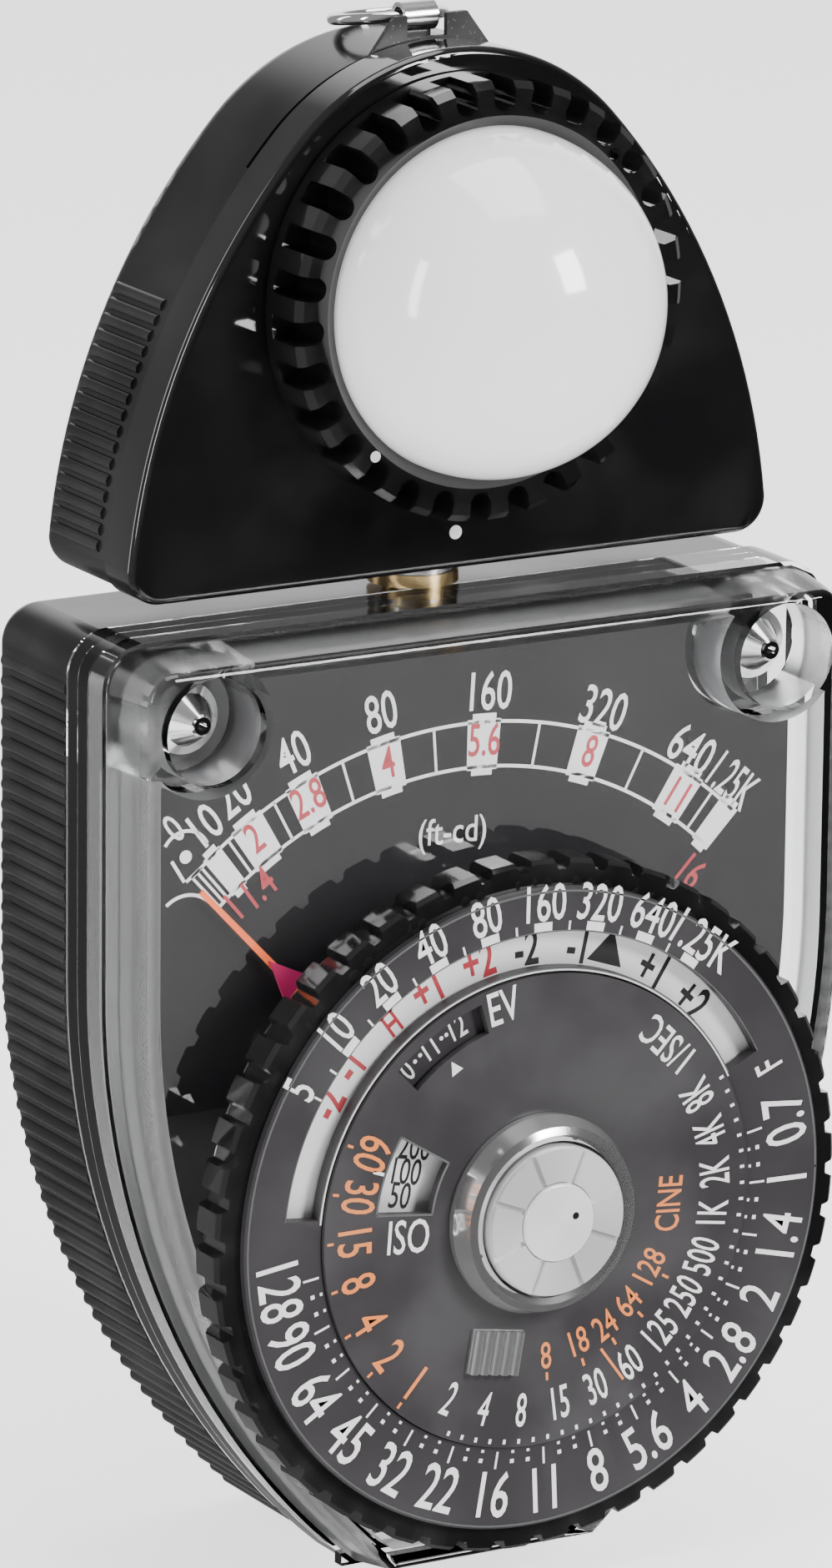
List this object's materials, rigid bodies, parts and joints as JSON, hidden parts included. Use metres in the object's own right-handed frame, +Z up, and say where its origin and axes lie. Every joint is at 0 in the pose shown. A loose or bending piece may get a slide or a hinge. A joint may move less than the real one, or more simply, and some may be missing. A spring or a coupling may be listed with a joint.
{
  "type": "handheld light meter",
  "caption": "Pocket incident light meter with a white diffusing dome on a swivelling head above a round calculator dial.",
  "frame": {"origin": "centre of the bounding box in X and Y, at the lowest point of the foot", "axes": "+X to the right seen from the dial side, -Y out through the dial and the dome, +Z up through the head"},
  "size_m": [0.0586, 0.0316, 0.1118],
  "materials": {
    "case_black": "satin",
    "gloss_black": "polished",
    "clear_plastic": "clear moulded acrylic, frosted on the tapered rim",
    "plate_grey": "satin warm dark grey",
    "index_white": "satin",
    "aluminium": "fine brushed",
    "steel": "plain",
    "chrome": "polished",
    "satin_disc": "turned satin",
    "brass": "turned",
    "alnico": "ground",
    "copper": "enamelled wire",
    "needle_orange": "satin",
    "needle_magenta": "satin",
    "opal": "glossy translucent white",
    "white_paint": "satin",
    "black_dot": "satin",
    "speckled_black": "speckled matt",
    "selenium": "dull grey coating",
    "tray_plastic": "matt",
    "bronze": "plain",
    "back_plate": "satin"
  },
  "bodies": {
    "body": {"body_case": "case_black", "clear_cover": "clear_plastic", "scale_plate": "plate_grey", "movement_chassis": "tray_plastic", "chassis_screws": "steel", "cover_screws": "chrome", "table_plate": "back_plate", "meter_magnet": "alnico", "iron_core": "steel", "front_bridge": "aluminium", "rear_bridge": "aluminium", "jewel_screws": "brass", "hairspring": "bronze", "dial_base": "tray_plastic", "dial_pillars": "brass", "dial_post": "brass", "index_disc": "index_white", "dial_washer": "steel", "button_bezel": "chrome", "button_spring": "steel", "brake_pin": "steel", "swivel_bushing": "brass"},
    "head": {"head_front_shell": "gloss_black", "head_rear_shell": "case_black", "head_screws": "steel", "head_dot": "white_paint", "strap_lug": "steel", "photocell": "selenium", "cell_holder": "tray_plastic", "cell_contacts": "brass", "swivel_washer": "steel", "swivel_shaft": "steel", "swivel_nut": "brass", "swivel_clip": "steel"},
    "lens": {"lens_ring": "gloss_black", "dome": "opal", "ring_dot": "white_paint"},
    "slide": {"high_slide": "speckled_black"},
    "ring": {"strap_ring": "chrome"},
    "outer_dial": {"knurled_ring": "gloss_black", "outer_scale_plate": "plate_grey"},
    "inner_dial": {"shutter_disc": "plate_grey", "iso_grip": "chrome"},
    "plunger": {"button_stem": "steel", "stem_clip": "steel"},
    "button": {"button_face": "satin_disc", "button_cap": "chrome", "button_dot": "black_dot"},
    "needle": {"needle_blade": "needle_magenta", "needle_pointer": "needle_orange", "balance_weight": "brass", "pivot_staffs": "steel", "moving_coil": "copper"},
    "brake": {"brake_lever": "aluminium"},
    "arm": {"zero_arm": "brass"},
    "zero": {"zero_screw": "brass"}
  },
  "joints": [
    {"name": "head_swivel", "type": "hinge", "parent": "body", "child": "head", "pos_m": [0, 0.00695, 0.0711], "axis": [0, 0, 1], "range_deg": [-90, 180]},
    {"name": "lens_turn", "type": "hinge", "parent": "head", "child": "lens", "pos_m": [0, -0.00045, 0.0922], "axis": [0, 1, 0], "range_deg": [0, 43]},
    {"name": "high_slide_pull", "type": "slide", "parent": "head", "child": "slide", "axis": [0, 0, 1], "range_m": [0, 0.028]},
    {"name": "strap_ring_swing", "type": "hinge", "parent": "head", "child": "ring", "pos_m": [-0.00035, 0.0068, 0.11075], "axis": [1, 0, 0], "range_deg": [0, 100]},
    {"name": "outer_dial_turn", "type": "hinge", "parent": "body", "child": "outer_dial", "pos_m": [0, -0.008, 0.0282], "axis": [0, 1, 0], "continuous": true},
    {"name": "inner_dial_turn", "type": "hinge", "parent": "body", "child": "inner_dial", "pos_m": [0, -0.011, 0.0282], "axis": [0, 1, 0], "range_deg": [-48, 84]},
    {"name": "button_press", "type": "slide", "parent": "body", "child": "plunger", "axis": [0, 1, 0], "range_m": [0, 0.0008], "stiffness_N_per_m": 900, "springref_m": -0.0004, "deforming": ["button_spring"]},
    {"name": "button_lock", "type": "hinge", "parent": "plunger", "child": "button", "pos_m": [0, -0.014, 0.0282], "axis": [0, 1, 0], "range_deg": [0, 45]},
    {"name": "needle_swing", "type": "hinge", "parent": "body", "child": "needle", "pos_m": [0, -0.0015, 0.0289], "axis": [0, 1, 0], "range_deg": [0, 86], "stiffness_Nm_per_rad": 0.00002},
    {"name": "brake_rock", "type": "hinge", "parent": "body", "child": "brake", "pos_m": [0, -0.0039, 0.0327], "axis": [1, 0, 0], "range_deg": [0, 10.2]},
    {"name": "zero_screw_turn", "type": "hinge", "parent": "body", "child": "zero", "pos_m": [0, 0.013, 0.0192], "axis": [0, 1, 0], "range_deg": [-60, 60]},
    {"name": "zero_arm_turn", "type": "hinge", "parent": "body", "child": "arm", "pos_m": [0, 0.0109, 0.0289], "axis": [0, 1, 0], "range_deg": [-4, 4]}
  ],
  "couplings": [
    {"joint": "brake_rock", "follows": "button_press", "rad_per_m": 222.2},
    {"joint": "zero_arm_turn", "follows": "zero_screw_turn", "ratio": -0.058}
  ]
}
